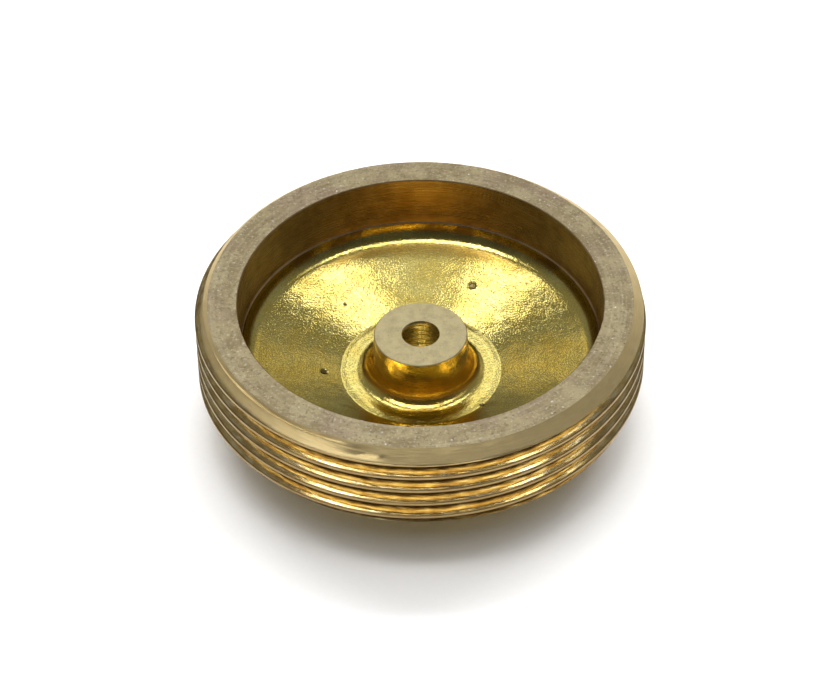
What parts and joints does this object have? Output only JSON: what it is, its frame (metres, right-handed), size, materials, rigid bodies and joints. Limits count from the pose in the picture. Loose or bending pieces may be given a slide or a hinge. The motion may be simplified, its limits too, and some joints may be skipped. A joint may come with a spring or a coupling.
{
  "type": "screwed pipe cap",
  "caption": "Brass screwed cap with an outside pipe thread, an open dished cup, a bored centre boss and a bleed screw in its hexagon end.",
  "frame": {"origin": "centre of the hexagon's flat end face, on the cap's axis", "axes": "+Z along the cap's axis, from the hexagon end to the open rim; the hexagon has corners on +X and -X"},
  "size_m": [0.0596, 0.0596, 0.02],
  "materials": {
    "cap_brass": "hot forged and bright dipped inside, turned satin and tarnished on the rim, thread and boss",
    "washer_fibre": "matt vulcanised fibre, punched edge",
    "screw_brass": "turned, satin"
  },
  "bodies": {
    "cap": {"cap_body": "cap_brass"},
    "washer": {"vent_washer": "washer_fibre"},
    "screw": {"vent_screw": "screw_brass"}
  },
  "joints": [
    {"name": "vent_travel", "type": "slide", "parent": "cap", "child": "washer", "axis": [0, 0, -1], "range_m": [0, 0.0012]},
    {"name": "vent_turn", "type": "hinge", "parent": "washer", "child": "screw", "pos_m": [0, 0, 0.0036], "axis": [0, 0, -1], "range_deg": [0, 540]}
  ],
  "couplings": [
    {"joint": "vent_turn", "follows": "vent_travel", "rad_per_m": 7854}
  ]
}
